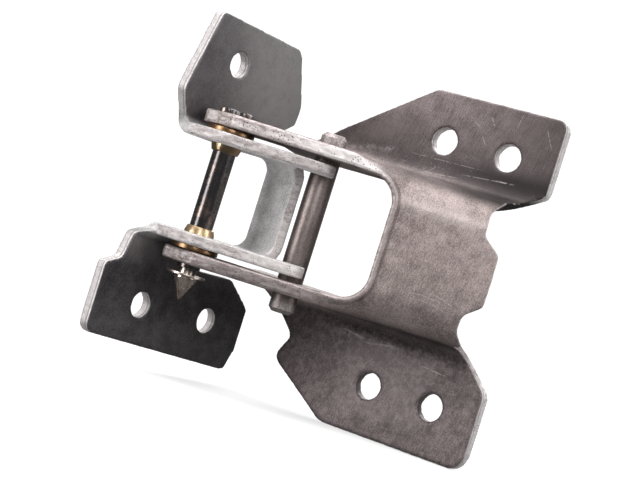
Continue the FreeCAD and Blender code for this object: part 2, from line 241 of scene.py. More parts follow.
print("node trees are ready")

# %% [markdown]
# ## Where a point of a surface lies
#
# Every material here starts from the piece's own Object coordinates, which stay on the
# piece when it moves. They are measured from the hinge pin, in mm.

# %% Measures on a surface
class Measured(Tree):
    """A material's node tree that knows where each point of the surface lies."""

    def __init__(self, name):
        self.material = bpy.data.materials.new(name)
        super().__init__(self.material)
        self.place = self.node("ShaderNodeTexCoord").outputs["Object"]

    def vector_math(self, operation, first, second=None):
        """A Vector Math node over one or two vectors."""
        values = {0: first} if second is None else {0: first, 1: second}
        return self.node("ShaderNodeVectorMath", {"operation": operation}, values)

    def mm_along(self, direction):
        """How far a place lies from the hinge pin along a direction, in mm."""
        apart = self.vector_math("SUBTRACT", self.place, PIN).outputs["Vector"]
        metres = self.vector_math("DOT_PRODUCT", apart, direction).outputs["Value"]
        return Signal(self, metres) * (1 / MM)

    def mm_from_axis(self):
        """How far a place lies from the hinge pin's axis, in mm."""
        apart = self.vector_math("SUBTRACT", self.place, PIN).outputs["Vector"]
        level = self.vector_math("MULTIPLY", apart, (1 / MM, 1 / MM, 0.0)).outputs["Vector"]
        return Signal(self, self.vector_math("LENGTH", level).outputs["Value"])

    def painted(self, name):
        """A value that was stored on the piece's own points."""
        node = self.node("ShaderNodeAttribute", {"attribute_name": name})
        return Signal(self, node.outputs["Fac"])


print("measures are ready")

# %% [markdown]
# ## A finish
#
# A finish adds the few textures that steel needs, lays colours over each other, and ends in
# one Principled shader.

# %% A material in the making
class Finish(Measured):
    """A material in the making, from textures to its one shader."""

    def noise(self, size, detail=3.0, rough=0.55, where=None):
        """Soft noise with features of a size in metres."""
        node = self.node("ShaderNodeTexNoise", None,
                         {"Vector": where or self.place, "Scale": 1.0 / size,
                          "Detail": detail, "Roughness": rough})
        return Signal(self, node.outputs["Fac"])

    def drawn_out(self, sizes, angles=(0, 0, 0), detail=3.0, rough=0.7):
        """Noise with features of three sizes in metres, along three turned axes."""
        mapping = self.node("ShaderNodeMapping", {"vector_type": "TEXTURE"},
                            {"Vector": self.place, "Rotation": angles, "Scale": sizes})
        return self.noise(1.0, detail, rough, where=mapping.outputs["Vector"])

    def spots(self, size):
        """The distance to the nearest of many scattered points."""
        node = self.node("ShaderNodeTexVoronoi", None,
                         {"Vector": self.place, "Scale": 1.0 / size, "Randomness": 1.0})
        return Signal(self, node.outputs["Distance"])

    def blend(self, amount, first, second):
        """The first colour where the amount is 0, the second where it is 1."""
        first = (*first, 1.0) if isinstance(first, tuple) else first
        second = (*second, 1.0) if isinstance(second, tuple) else second
        node = self.node("ShaderNodeMix", {"data_type": "RGBA"}, {0: amount, 6: first, 7: second})
        return node.outputs[2]

    def relief(self, height, depth):
        """A normal that makes a height field look as deep as it says, in metres."""
        values = {"Height": height, "Distance": depth, "Strength": 1.0}
        return self.node("ShaderNodeBump", None, values).outputs["Normal"]

    def report(self, part):
        """Say how many nodes there are once a part of the finish is made."""
        print(self.material.name, "with", part, "has", len(self.tree.nodes), "nodes")

    def surface(self, colour, roughness, metallic, normal):
        """The finished material."""
        shader = self.node("ShaderNodeBsdfPrincipled", None,
                           {"Base Color": colour, "Roughness": roughness,
                            "Metallic": metallic, "Normal": normal})
        self.node("ShaderNodeOutputMaterial", None, {"Surface": shader.outputs["BSDF"]})
        self.report("its surface")
        return self.material


print("finishes are ready")

# %% [markdown]
# ## Marks that all the steel pieces share
#
# Worn steel has three kinds of marks: a broad mottle, fine pits, and thin lines that run in
# a few directions. Each one is made once as a function.

# %% Mottle, pits and fine lines
def mottle(finish, broad=24 * MM, patch=7 * MM, fine=0.5 * MM):
    """Cloudy patches with smaller ones inside them, and the fine grain of tumbled steel."""
    cloud = finish.noise(broad, detail=4.0, rough=0.6)
    patches = finish.noise(patch, detail=3.0, rough=0.6)
    grain = finish.noise(fine, detail=2.0, rough=0.75)
    return cloud * 0.25 + patches * 0.25 + grain * 0.50


def pits(finish, size):
    """1 in the middle of small scattered pits, 0 on the plain surface."""
    where = finish.noise(6 * MM, detail=2.0).step(0.42, 0.56)
    return (1 - finish.spots(size).step(0.14, 0.38)) * where


def fine_lines(finish, angles, length, width):
    """Thin broken lines along one direction."""
    lines = finish.drawn_out((length, width, width), angles, detail=1.0, rough=0.55)
    broken = finish.noise(14 * MM, detail=2.0).step(0.5, 0.66)
    return lines.step(0.66, 0.72) * broken


print("marks are ready")

# %% [markdown]
# A single scratch is the narrow band round a line between two points, broken by noise. It
# starts sharply and fades towards its end. A bowed one follows a flat arc.

# %% Scratches that are placed one by one
def scratch(finish, sideways, upwards, start, end, width=0.3, bow=0.0):
    """One scratch on a flat face, from start to end in mm, straight or bowed by so many mm."""
    run, climb = end[0] - start[0], end[1] - start[1]
    length = math.hypot(run, climb)
    run, climb = run / length, climb / length
    sideways, upwards = sideways - start[0], upwards - start[1]
    done = sideways * run + upwards * climb
    aside = upwards * run - sideways * climb
    if bow:
        aside = aside - done * (length - done) * (4 * bow / length ** 2)
    ends = done.step(0.0, 0.2 * length) * (1 - done.step(0.7 * length, length))
    return aside.near(0.0, width) * ends * finish.noise(1.5 * MM, detail=1.0).step(0.3, 0.5)


def add_up(signals):
    """The sum of a list of signals."""
    total = signals[0]
    for signal in signals[1:]:
        total = total + signal
    return total


print("scratches are ready")

# %% [markdown]
# ## The two straps
#
# A CAD solid has knife-sharp edges. The real plates were sheared, bent and then tumbled with
# grit, so every edge is broken and uneven. A copy of the solid is turned into an even skin
# of small faces, its edges are relaxed, and a gentle waviness is pressed into its faces.

# %% Copy a CAD node and shape the copy
JOIN_DISTANCE = 0.001 * MM


def only(piece):
    """Select one piece and nothing else."""
    bpy.ops.object.select_all(action="DESELECT")
    piece.select_set(True)
    bpy.context.view_layer.objects.active = piece


def copy_of(node_name, piece_name):
    """A copy of a CAD node with its loose triangles joined."""
    only(frame["nodes"][node_name])
    bpy.ops.object.duplicate()
    piece = bpy.context.active_object
    bpy.ops.object.parent_clear(type="CLEAR_KEEP_TRANSFORM")
    piece.name = piece.data.name = piece_name
    bpy.ops.object.mode_set(mode="EDIT")
    bpy.ops.mesh.select_all(action="SELECT")
    bpy.ops.mesh.remove_doubles(threshold=JOIN_DISTANCE)
    bpy.ops.mesh.normals_make_consistent(inside=False)
    bpy.ops.object.mode_set(mode="OBJECT")
    return piece


def finish_with(piece, kind, **settings):
    """Add one modifier with its settings and apply it."""
    only(piece)
    modifier = piece.modifiers.new(kind.lower(), kind)
    for name, value in settings.items():
        setattr(modifier, name, value)
    bpy.ops.object.modifier_apply(modifier=modifier.name)


print("nodes to copy:", len(frame["nodes"]))

# %% [markdown]
# The cells are small enough for the holes to stay round, and large enough to keep each
# plate under 200,000 triangles. The door strap is smaller and can have finer cells.

# %% Two tumbled plates
WAVE_SIZE = 7 * MM


def tumbled(node_name, piece_name, cell, relax, wave):
    """An even skin over the solid, with worn edges and slightly wavy faces."""
    piece = copy_of(node_name, piece_name)
    finish_with(piece, "REMESH", mode="VOXEL", voxel_size=cell, adaptivity=0.0)
    finish_with(piece, "SMOOTH", factor=0.5, iterations=relax)
    clouds = bpy.data.textures.new(piece_name + "_wave", "CLOUDS")
    clouds.noise_scale = WAVE_SIZE
    clouds.noise_depth = 2
    finish_with(piece, "DISPLACE", texture=clouds, texture_coords="LOCAL", strength=wave,
                mid_level=0.5)
    bpy.ops.object.shade_smooth()
    print(piece_name, "has", len(piece.data.polygons), "faces")
    return piece


pillar_plate = tumbled("pillar_strap", "pillar_plate", cell=0.73 * MM, relax=4, wave=0.18 * MM)
door_plate = tumbled("door_strap", "door_plate", cell=0.54 * MM, relax=5, wave=0.12 * MM)

# %% [markdown]
# ## Values on the points of a plate
#
# The wide faces of a plate carry the dark skin of the sheet. The narrow faces were sheared
# after that, so they show lighter metal. Which is which follows from where a point lies and
# which way it faces, so each plate stores that as values on its own points. Lengths are in
# mm from the middle of the pin. Where two of them stand in a pair, a value starts to change
# at the first and has changed at the second.

# %% Read points and store values
def points_of(piece):
    """Places from the middle of the pin in mm, and normals, as two arrays."""
    count = len(piece.data.vertices)
    places = np.empty(count * 3)
    piece.data.vertices.foreach_get("co", places)
    places = (places.reshape(-1, 3) - np.array(PIN)) / MM
    normals = np.empty(count * 3)
    piece.data.vertex_normals.foreach_get("vector", normals)
    return places, normals.reshape(-1, 3)


def along(vectors, direction):
    """How far each of many vectors reaches along a direction."""
    return vectors @ np.array(direction)


def rise(values, low, high):
    """0 below low and 1 above high."""
    return np.clip((values - low) / (high - low), 0.0, 1.0)


def hump(values, middle, reach):
    """1 at a middle value, fading like a bell on both sides of it."""
    return np.exp(-((values - middle) / reach) ** 2)


def narrow(facing):
    """1 on the narrow faces of a sheet, from how far its normals reach across the sheet."""
    return 1 - rise(np.abs(facing), 0.35, 0.75)


def looks_along(normals, direction):
    """1 on faces that look along a direction, one way or the other."""
    return rise(np.abs(along(normals, direction)), 0.5, 0.8)


def store(piece, name, values):
    """Keep a value from 0 to 1 on each point of a piece."""
    values = np.clip(values, 0.0, 1.0).astype(np.float32)
    attribute = piece.data.attributes.new(name, "FLOAT", "POINT")
    attribute.data.foreach_set("value", values)
    print(piece.name, "has", name, "on", int((values > 0.5).sum()), "points")


# %% [markdown]
# ## Sheared edges of the pillar strap
#
# Its arms lie level, its wings stand square to the way into the pillar, and the raised
# saddle ends at the window. Each of them has narrow faces of its own.

# %% Store the pillar strap's sheared faces
ARM_BOTTOM, ARM_TOP, WING_FOOT, SADDLE_TOP = (23, 25.5), (31.6, 33), (33, 36), 34
WALL_END, WING_START, BEND_START = (52, 55), (57.5, 60), (58, 70)
places, normals = points_of(pillar_plate)
level = places[:, 2]
height = np.abs(level)
inward = places[:, 1]
onward = along(places, ALONG_ARMS)
narrow_arm = narrow(normals[:, 2]) * rise(height, *ARM_BOTTOM)
narrow_arm *= (1 - rise(height, *ARM_TOP)) * (1 - rise(inward, *WALL_END)) * (1 - rise(onward, *BEND_START))
narrow_wing = narrow(normals[:, 1]) * rise(inward, *WING_START)
narrow_wing *= rise(height, *WING_FOOT)
saddle_ends = looks_along(normals, ALONG_ARMS) * (height < SADDLE_TOP)
store(pillar_plate, "sheared", np.maximum(np.maximum(narrow_arm, narrow_wing), saddle_ends))
store(pillar_plate, "arm_edge", narrow_arm)

# %% [markdown]
# The walls of the four wing holes are bare as well. The upper two get painted light, and the
# lower two are coloured dark, so the two rows get a value each.

# %% Store the walls of the wing holes
HOLE_COLUMNS, UPPER_HOLES, LOWER_HOLES, HOLE_RIM = (61.4, 91.4), 48.9, -58.1, (6.1, 6.7)


def hole_walls(hole_level):
    """1 on the walls of the two wing holes at a level."""
    apart = [np.hypot(places[:, 0] - column, level - hole_level) for column in HOLE_COLUMNS]
    return (1 - rise(np.minimum(*apart), *HOLE_RIM)) * narrow_wing


store(pillar_plate, "lit_hole_wall", hole_walls(UPPER_HOLES))
store(pillar_plate, "dark_hole", hole_walls(LOWER_HOLES))

# %% [markdown]
# ## The saddle's ridge and the hollows beside it
#
# The saddle's two long ridges are worn, and a painted highlight lies along them, stronger on
# the upper one. The hollows above and below them get painted shade. Each is a bell in height
# that comes in along the arms.

# %% Store the worn ridges and their painted highlight
UPPER_RIDGE, LOWER_RIDGE, LOWER_SHARE = (18.2, 2.8), (-19, 5), 0.16
RIDGE_RUN, RIDGE_FRONT = (58, 84), (6.5, 9.5)
aside = along(places, ACROSS_ARMS)
ridge = hump(level, *UPPER_RIDGE) + LOWER_SHARE * hump(level, *LOWER_RIDGE)
ridge *= rise(onward, *RIDGE_RUN) * rise(-aside, *RIDGE_FRONT)
store(pillar_plate, "ridge", ridge)

# %% [markdown]
# The lower hollow is weaker towards the arms, and so are the two upper ones.

# %% Store the dark hollows
LOWER_HOLLOW, LOWER_HOLLOW_BACK, LOWER_HOLLOW_RUN = (-32.5, 6.5), (-9, 2), (60, 95)
UPPER_HOLLOWS, UPPER_HOLLOW_BACK, UPPER_HOLLOW_RUN = [(30.0, 5.0), (39.0, 5.0)], (-11, -6), (80, 105)
HOLLOW_START = (46, 62)
lower_growth = 0.42 + 0.48 * rise(onward, *LOWER_HOLLOW_RUN)
upper_growth = 0.5 + 0.5 * rise(onward, *UPPER_HOLLOW_RUN)
upper_valley = np.minimum(sum(hump(level, *hollow) for hollow in UPPER_HOLLOWS), 1)
# Painted shade in the hollows beside the saddle.
valley_shade = hump(level, *LOWER_HOLLOW) * rise(aside, *LOWER_HOLLOW_BACK) * lower_growth
valley_shade += upper_valley * upper_growth * rise(aside, *UPPER_HOLLOW_BACK)
store(pillar_plate, "valley_shade", valley_shade * rise(onward, *HOLLOW_START))

# %% [markdown]
# The window has a rounded end in the saddle. The lip follows it at the same distance
# everywhere, so it is stored by the distance from that rounded outline.

# %% Store the window's lip
WINDOW_END, WINDOW_HALF_HEIGHT, WINDOW_CORNER = 60.0, 14.9, 11.0
LIP_WIDTH, LIP_FRONT, LIP_START = (0.4, 3.0), (6, 9), (50, 58)
past_end = np.maximum(onward - WINDOW_END, 0)
past_side = np.maximum(height - WINDOW_HALF_HEIGHT, 0)
from_window = np.hypot(past_end, past_side) - WINDOW_CORNER
lip = (1 - rise(from_window, *LIP_WIDTH)) * rise(-aside, *LIP_FRONT) * rise(onward, *LIP_START)
store(pillar_plate, "lip", lip)

# %% [markdown]
# ## Sheared edges of the door strap
#
# Its arms lie level between the pillar strap's arms, the two flanges stand to the left of
# the pin, and the web joins the arms behind it.

# %% Store the door strap's sheared faces
DOOR_ARM_BOTTOM, DOOR_ARM_TOP, DOOR_FLANGE_FOOT = (17.5, 18.5), (23.5, 25), (24, 27)
FLANGE_START, FLANGE_FOOT, WEB_TOP = (9, 12), (21, 26), 18
places, normals = points_of(door_plate)
height = np.abs(places[:, 2])
narrow_arm = narrow(normals[:, 2]) * rise(height, *DOOR_ARM_BOTTOM) * (1 - rise(height, *DOOR_ARM_TOP))
flange_side = rise(-along(places, FLANGE_NORMAL), *FLANGE_START)
narrow_flange = narrow(along(normals, FLANGE_NORMAL)) * flange_side
narrow_flange *= rise(height, *DOOR_FLANGE_FOOT)
narrow_arm = narrow_arm * (1 - flange_side)
web_rims = looks_along(normals, ALONG_WEB) * (height < WEB_TOP) * (1 - flange_side)
store(door_plate, "sheared", np.maximum(np.maximum(narrow_arm, narrow_flange), web_rims))
store(door_plate, "flange", flange_side * rise(height, *FLANGE_FOOT))

# %% [markdown]
# ## Rough edges and a raised lip
#
# Shearing tears the metal, so the stored value also chooses the points that are pushed in
# and out by a small noise.

# %% Roughen the sheared edges
def roughen(piece, size, depth):
    """Push the sheared edges in and out a little, where the stored value is high."""
    sheared_value = np.empty(len(piece.data.vertices), dtype=np.float32)
    piece.data.attributes["sheared"].data.foreach_get("value", sheared_value)
    chosen = piece.vertex_groups.new(name="sheared_edges")
    chosen.add([int(i) for i in np.flatnonzero(sheared_value > 0.5)], 1.0, "REPLACE")
    grit = bpy.data.textures.new(piece.name + "_grit", "CLOUDS")
    grit.noise_scale = size
    grit.noise_depth = 3
    finish_with(piece, "DISPLACE", texture=grit, texture_coords="LOCAL", strength=depth,
                mid_level=0.5, vertex_group="sheared_edges")
    print(piece.name, "has", int((sheared_value > 0.5).sum()), "rough points")


roughen(pillar_plate, size=2.2 * MM, depth=0.42 * MM)
roughen(door_plate, size=2.0 * MM, depth=0.26 * MM)

# %% [markdown]
# The lip rises by the value that was stored for it, in ten steps.

# %% Raise the window's lip
LIP_HEIGHT, LIP_STEPS = 0.45 * MM, 10
window_lip = pillar_plate.vertex_groups.new(name="window_lip")
for step in range(1, LIP_STEPS + 1):
    ring = np.flatnonzero(np.abs(lip * LIP_STEPS - step) <= 0.5)
    window_lip.add([int(i) for i in ring], step / LIP_STEPS, "REPLACE")
finish_with(pillar_plate, "DISPLACE", strength=LIP_HEIGHT, mid_level=0.0, vertex_group="window_lip")
print("lip height in mm:", round(LIP_HEIGHT / MM, 2))

# %% [markdown]
# ## The pillar strap's finish: the skin of the sheet
#
# Brown-grey steel with a satin sheen. The wings and the saddle are lit and shaded copies of
# one skin: the saddle is painted lighter, as painted light where it faces the front. From
# here on every blend lays one colour over the last: its amount says where and how strongly.

# %% Skin of the pillar strap
WING_SPAN = (36.0, 90.0)
steel = Finish("pillar_steel_worn")
right = steel.mm_along(TO_RIGHT)
inward = steel.mm_along(TO_PILLAR)
height = steel.mm_along(UPWARDS)
forward = steel.mm_along(ALONG_ARMS)
wing = height.absolute().between(*WING_SPAN, 3.0)
tone = mottle(steel)
brushed = steel.drawn_out((0.5 * MM, 0.5 * MM, 7 * MM), (0, 0.25, 0))
grain = (tone + (brushed - 0.5) * 0.30).step(0.38, 0.62)
# Painted light: the saddle's copy of the skin is lighter than the wings', where it faces the front.
shaded_wing_skin = steel.blend(grain, (0.062, 0.049, 0.049), (0.205, 0.168, 0.167))
lit_saddle_skin = steel.blend(grain, (0.135, 0.108, 0.103), (0.350, 0.292, 0.280))
skin = steel.blend(wing, lit_saddle_skin, shaded_wing_skin)
steel.report("its skin")

# %% [markdown]
# ## Painted shade in the bends, and the worn ridge with its painted highlight
#
# The wings near the bends, the upper wing's right side and the hollows are darkened as
# painted shade. The ridge of the saddle has worn streaks along it under a painted highlight.

# %% Bends, hollows and ridge of the pillar strap
hollow = steel.painted("valley_shade")
streaks = steel.drawn_out((14 * MM, 14 * MM, 0.5 * MM), (0, 0.12, 0))
ridge_wear_and_highlight = steel.painted("ridge") * (0.45 + streaks * 0.75)
near_bend_shade = height.between(-46.0, 46.0, 18.0) * 0.50
right_side_shade = right.step(60.0, 112.0) * height.step(0.0, 30.0) * 0.68
upper_bend_shade = hollow * right.step(72.0, 100.0) * height.step(0.0, 20.0)
# Painted shade: near the bends, towards the upper wing's right side, in the hollows, and deepest in the
# upper bend on the right.
skin = steel.blend(wing * near_bend_shade.most(right_side_shade), skin, (0.042, 0.033, 0.033))
skin = steel.blend(hollow * 0.8, skin, (0.034, 0.028, 0.029))
skin = steel.blend(upper_bend_shade * 0.5, skin, (0.008, 0.006, 0.006))
# Painted highlight along the worn ridge.
skin = steel.blend(ridge_wear_and_highlight * 0.20, skin, (0.70, 0.64, 0.63))
steel.report("its bends and ridge")

# %% [markdown]
# ## Coarse grain, the lip and fine lines
#
# The lower wing has a coarser grain with a pale patch. The lip round the window gets a painted
# highlight on its crest and painted shade at its foot, and fine lines cross the whole plate.

# %% Grain, lip and fine lines of the pillar strap
low_wing = wing * (1 - height.step(-20.0, 0.0))
coarse = steel.noise(2.2 * MM, detail=5.0, rough=0.85).step(0.42, 0.60)
pale_patch = right.between(52.0, 84.0, 12.0) * height.between(-66.0, -44.0, 8.0)
lip_level = steel.painted("lip")
scored = fine_lines(steel, (0, 0.5, 0.3), 60 * MM, 0.4 * MM)
scored = scored + fine_lines(steel, (0.2, -0.7, 0.5), 40 * MM, 0.35 * MM)
skin = steel.blend(low_wing * coarse * 0.24, skin, (0.30, 0.250, 0.250))
skin = steel.blend(low_wing * (1 - coarse) * 0.20, skin, (0.020, 0.015, 0.015))
skin = steel.blend(pale_patch * 0.14, skin, (0.36, 0.31, 0.31))
# Painted shade at the foot of the lip, and a painted highlight on its crest.
skin = steel.blend(lip_level.between(0.12, 0.40, 0.12) * 0.5, skin, (0.050, 0.038, 0.037))
skin = steel.blend(lip_level.step(0.45, 0.75) * 0.4, skin, (0.36, 0.31, 0.30))
skin = steel.blend(scored * 0.25, skin, (0.40, 0.36, 0.35))
steel.report("its grain and fine lines")

# %% [markdown]
# ## Scratches in their own places
#
# A few long scratches and smears are placed one by one, as start, end and width, and on the
# saddle also how far they bow. On the wings the first number runs to the right, on the
# saddle it runs along the arms, and the second number is the height.

# %% Scratches and smears of the pillar strap
WING_SCRATCHES = [
    ((72.5, 37.2), (100.0, 39.2), 0.35),
    ((89.0, 38.6), (98.5, 38.9), 0.55),
    ((46.0, 40.6), (86.0, 41.3), 0.3),
    ((57.0, 34.2), (74.0, 35.4), 0.3),
    ((72.0, 60.0), (75.6, 58.4), 0.35),
    ((77.5, 55.2), (80.4, 51.2), 0.3),
    ((92.9, 68.5), (91.4, 61.5), 0.3),
    ((78.8, 64.0), (82.0, 59.6), 0.35),
    ((104.6, 64.5), (109.6, 56.0), 0.3),
    ((82.0, -43.0), (95.0, -44.0), 0.35),
    ((41.0, -38.2), (55.0, -40.2), 0.7),
    ((53.0, -41.4), (70.0, -38.8), 0.6),
]
SADDLE_SCRATCHES = [
    ((89.0, -13.8), (110.0, -18.6), 0.38, 2.3),
    ((89.0, -17.4), (106.0, -19.8), 0.32, 1.2),
    ((86.0, -15.8), (101.0, -16.2), 0.3, 1.0),
    ((104.0, 10.8), (117.0, 7.8), 0.3, 0.0),
]
wing_marks = add_up([scratch(steel, right, height, *mark) for mark in WING_SCRATCHES])
saddle_marks = add_up([scratch(steel, forward, height, *mark) for mark in SADDLE_SCRATCHES])
marks = wing_marks.most(saddle_marks)
upper_smear = right.between(22.0, 38.0, 5.0) * (height - right * 0.16).near(33.6, 2.2)
lower_smear = right.between(44.0, 68.0, 7.0) * height.near(-39.8, 2.4)
smears = (upper_smear + lower_smear) * steel.noise(1.6 * MM, detail=3.0, rough=0.7).step(0.42, 0.66)
skin = steel.blend(marks * 0.26, skin, (0.50, 0.45, 0.44))
skin = steel.blend(smears * 0.28, skin, (0.42, 0.38, 0.38))
print("scratches placed:", len(WING_SCRATCHES) + len(SADDLE_SCRATCHES))

# %% [markdown]
# ## Pale sheared edges of the pillar strap
#
# Bare metal in patches, with a painted highlight in the upper holes and dark in the lower
# ones, where thread lines show. The lower arm's edge is darker, and the ends of some edges
# get a painted highlight. A dark line runs along the edges where the shear broke through.

# %% Edges of the pillar strap
FIRST_THREAD, THREAD_PITCH, THREAD_LINES = 57.8, 1.25, 5
WING_BREAK_LINE, ARM_BREAK_LINE = 64.2, 26.9
arm_edge = steel.painted("arm_edge")
dark_hole = steel.painted("dark_hole")
thread_depths = [FIRST_THREAD + line * THREAD_PITCH for line in range(THREAD_LINES)]
threads = add_up([inward.near(depth, 0.3) for depth in thread_depths])
arm_end = height.step(18.0, 24.0) * (1 - height.step(30.0, 33.0)) * forward.step(10.0, 40.0)
painted_end_highlight = arm_end.most(right.step(104.0, 112.0) * wing * 1.6)
low_edge = height.between(-40.0, -20.0, 3.0) * arm_edge * forward.step(-8.0, 16.0)
wing_line = inward.near(WING_BREAK_LINE, 0.55) * wing
arm_line = height.absolute().near(ARM_BREAK_LINE, 0.5) * arm_edge
patches = steel.drawn_out((5 * MM, 5 * MM, 1.6 * MM), detail=4.0).step(0.3, 0.66)
edge_tone = steel.blend(patches, (0.24, 0.198, 0.192), (0.64, 0.595, 0.59))
# Painted highlight on the walls of the upper holes.
edge_tone = steel.blend(steel.painted("lit_hole_wall") * 0.8, edge_tone, (0.90, 0.87, 0.86))
edge_tone = steel.blend(dark_hole * 0.8, edge_tone, (0.13, 0.105, 0.10))
edge_tone = steel.blend(dark_hole * threads * 0.7, edge_tone, (0.018, 0.014, 0.014))
# Painted highlight on the ends of some edges.
edge_tone = steel.blend(painted_end_highlight * 0.45, edge_tone, (0.82, 0.79, 0.79))
edge_tone = steel.blend(low_edge * 0.7, edge_tone, (0.085, 0.064, 0.062))
edge_tone = steel.blend(wing_line * 0.65, edge_tone, (0.075, 0.06, 0.058))
edge_tone = steel.blend(arm_line * 0.30, edge_tone, (0.12, 0.095, 0.09))
steel.report("its edges")

# %% [markdown]
# ## The pillar strap's whole surface
#
# The edges are laid over the skin, then a brown stain round the pin, then the pits. The
# same marks that colour the steel also change its gloss and its relief.

# %% Surface of the pillar strap
sheared = steel.painted("sheared")
pitted = pits(steel, 1.1 * MM)
stain = 1 - steel.mm_from_axis().step(6.0, 17.0)
stain = stain * steel.noise(3 * MM, detail=4.0, rough=0.7).step(0.42, 0.66)
skin = steel.blend(sheared * 0.92, skin, edge_tone)
skin = steel.blend(stain * sheared * 0.7, skin, (0.15, 0.068, 0.032))
skin = steel.blend(pitted * (sheared * 0.68 + 0.12), skin, (0.05, 0.040, 0.04))
rough = 0.47 + tone * 0.2 - ridge_wear_and_highlight * 0.14 - marks * 0.06 + hollow * 0.08
relief = tone * 0.9 + streaks * ridge_wear_and_highlight * 0.3 - pitted * (sheared * 0.8 + 0.2) - marks * 0.5
relief = relief + patches * sheared * 0.5
pillar_finish = steel.surface(skin, rough, 0.74, steel.relief(relief, 0.055 * MM))

# %% [markdown]
# ## The door strap's finish: arms and flanges
#
# The arms and the web were tumbled to a light grey with darker blotches. The flanges are smooth
# and dark; the lower one is nearly black with painted shade, and the upper one gets painted light away from
# the pin.

# %% Skin of the door strap
coat = Finish("door_coat_satin")
flange_face = coat.painted("flange")
height = coat.mm_along(UPWARDS)
breadth = coat.mm_along(ALONG_FLANGE)
tone = mottle(coat, 18 * MM, 5 * MM, 0.6 * MM)
blotch = coat.noise(4.5 * MM, detail=3.0, rough=0.6).step(0.50, 0.66)
arm_skin = coat.blend(tone.step(0.38, 0.62), (0.250, 0.240, 0.241), (0.520, 0.503, 0.505))
arm_skin = coat.blend(blotch * 0.30, arm_skin, (0.200, 0.188, 0.188))
# Painted light and shade: the upper flange lightens away from the pin, and the lower one is a shaded copy,
# nearly black, a little lighter at its bottom and near its top.
lighter = (breadth * 0.8 + height * 0.35).step(2.0, 52.0)
lit_upper_flange = coat.blend(lighter, (0.070, 0.063, 0.066), (0.250, 0.236, 0.238))
lower_end = 1 - height.step(-66.0, -50.0)
shaded_lower_flange = coat.blend(lower_end, (0.026, 0.023, 0.026), (0.050, 0.047, 0.050))
shaded_lower_flange = coat.blend(height.step(-42.0, -27.0), shaded_lower_flange, (0.110, 0.100, 0.103))
dark = coat.blend(height.step(5.0, 20.0), shaded_lower_flange, lit_upper_flange)
coat.report("its arms and flanges")

# %% [markdown]
# ## Cloudy marks and fine rubs
#
# The dark flanges get faint clouds and crossing rubs, and are then laid over the arms' skin.

# %% Marks of the door strap
rub = fine_lines(coat, (0.4, 0.2, 0.9), 30 * MM, 0.3 * MM)
rub = rub + fine_lines(coat, (-0.6, 0.5, 0.1), 22 * MM, 0.3 * MM)
dark = coat.blend(tone.step(0.40, 0.62) * 0.13, dark, (0.34, 0.32, 0.32))
dark = coat.blend((1 - tone.step(0.38, 0.56)) * 0.22, dark, (0.012, 0.010, 0.011))
dark = coat.blend(rub * 0.16, dark, (0.42, 0.40, 0.40))
skin = coat.blend(flange_face, arm_skin, dark)
coat.report("its marks")

# %% [markdown]
# ## Pale sheared edges of the door strap
#
# They are made like the pillar strap's, palest on the flanges under a painted highlight. The
# upper arm's edge gets painted shade to the right and the lower one's a painted highlight there.

# %% Edges of the door strap
FLANGE_BREAK_LINE, DOOR_BREAK_LINE = -15.3, 19.7
onward = coat.mm_along(ALONG_ARMS)
arm_side = 1 - flange_face
upper_right_shade = height.step(0.0, 10.0) * onward.step(6.0, 40.0) * arm_side
lower_right_highlight = (1 - height.step(-10.0, 0.0)) * onward.step(16.0, 34.0) * arm_side
flange_line = coat.mm_along(FLANGE_NORMAL).near(FLANGE_BREAK_LINE, 0.5) * flange_face
arm_line = height.absolute().near(DOOR_BREAK_LINE, 0.45) * arm_side
patches = coat.drawn_out((5 * MM, 5 * MM, 1.5 * MM), detail=4.0).step(0.3, 0.66)
edge_tone = coat.blend(patches, (0.26, 0.225, 0.22), (0.54, 0.505, 0.50))
# Painted highlight on the flanges' edges.
edge_tone = coat.blend(flange_face * 0.6, edge_tone, (0.66, 0.63, 0.63))
edge_tone = coat.blend(flange_line * 0.7, edge_tone, (0.13, 0.115, 0.115))
# Painted shade on the upper arm's edge to the right, and a painted highlight on the lower arm's edge there.
edge_tone = coat.blend(upper_right_shade * 0.38, edge_tone, (0.20, 0.175, 0.172))
edge_tone = coat.blend(lower_right_highlight * 0.35, edge_tone, (0.80, 0.76, 0.75))
edge_tone = coat.blend(arm_line * 0.28, edge_tone, (0.13, 0.11, 0.105))
coat.report("its edges")

# %% [markdown]
# ## The door strap's whole surface
#
# The wide faces of the arms and the web are duller and less metallic than the rest.

# %% Surface of the door strap
sheared = coat.painted("sheared")
pitted = pits(coat, 0.9 * MM)
arm_face = arm_side * (1 - sheared)
skin = coat.blend(sheared * 0.92, skin, edge_tone)
skin = coat.blend(pitted * (sheared * 0.58 + 0.05), skin, (0.07, 0.06, 0.058))
rough = 0.40 + tone * 0.16 + sheared * 0.08 + arm_face * 0.12
relief = tone * 0.6 + patches * sheared * 0.5 - pitted * (sheared * 0.8 + 0.1)
door_finish = coat.surface(skin, rough, 0.7 - arm_face * 0.45, coat.relief(relief, 0.045 * MM))

# %% [markdown]
# ## Pins, bushes and ring
#
# The turned pieces keep their CAD form. A copy of each gets small rounded edges, because
# even a machined edge catches a thin line of light.

# %% Turned pieces with broken edges
SHARP_BEND, SMOOTH_BEND = math.radians(28), math.radians(30)


def turned_copy(node_name, piece_name, edge):
    """A copy of a turned CAD node whose sharp edges are rounded to a width."""
    piece = copy_of(node_name, piece_name)
    finish_with(piece, "BEVEL", width=edge, segments=3, limit_method="ANGLE",
                angle_limit=SHARP_BEND, use_clamp_overlap=True)
    bpy.ops.object.shade_smooth_by_angle(angle=SMOOTH_BEND)
    print(piece_name, "has", len(piece.data.polygons), "faces")
    return piece


swing_pin = turned_copy("hinge_pin", "swing_pin", 0.18 * MM)
upper_bush = turned_copy("upper_bushing", "upper_bush", 0.22 * MM)
lower_bush = turned_copy("lower_bushing", "lower_bush", 0.22 * MM)
spring_ring = turned_copy("pin_retaining_ring", "spring_ring", 0.12 * MM)
limit_pin = turned_copy("stop_pin", "limit_pin", 0.3 * MM)
